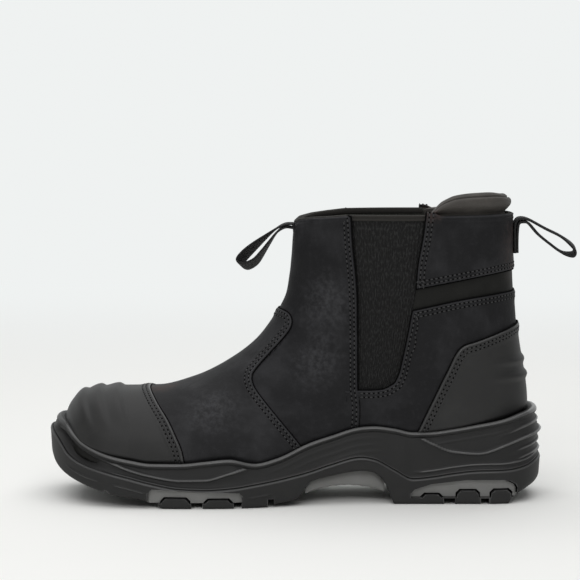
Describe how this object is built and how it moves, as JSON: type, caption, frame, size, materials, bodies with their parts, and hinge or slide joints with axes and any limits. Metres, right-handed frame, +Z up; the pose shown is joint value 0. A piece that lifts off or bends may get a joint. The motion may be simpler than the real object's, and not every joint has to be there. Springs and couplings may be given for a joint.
{
  "type": "pull-on safety boot",
  "caption": "Black ankle-high pull-on safety boot with a scuff cap over the toe, elastic side panels, a padded collar, webbing pull loops and a lugged two-tone sole.",
  "frame": {"origin": "on the floor under the middle of the heel tread", "axes": "-X towards the toe, +X towards the heel, -Y towards the outer side of the foot, +Z up"},
  "size_m": [0.3301, 0.1087, 0.1897],
  "materials": {
    "leather": "matte oiled nubuck",
    "flex_leather": "soft smooth leather",
    "cap_rubber": "matte moulded",
    "midsole_rubber": "semi-gloss moulded",
    "tread_rubber": "matte moulded",
    "grey_rubber": "matte moulded",
    "insole_cloth": "plain cloth",
    "elastic": "ribbed elastic",
    "lining": "smooth padded lining leather",
    "webbing": "woven webbing"
  },
  "bodies": {
    "root": {"outsole": "tread_rubber", "insert_forefoot_outer": "grey_rubber", "insert_forefoot_inner": "grey_rubber", "insert_heel_outer": "grey_rubber", "insert_heel_inner": "grey_rubber", "insert_arch": "grey_rubber", "midsole": "midsole_rubber", "insole": "insole_cloth", "upper": "flex_leather", "vamp": "leather", "toe_cap": "cap_rubber", "front_quarter": "leather", "back_quarter": "leather", "heel_counter": "cap_rubber", "collar_band": "leather", "collar_pad": "lining", "gore_outer": "elastic", "gore_inner": "elastic", "pull_loop_front": "webbing", "pull_loop_back": "webbing"}
  },
  "joints": []
}
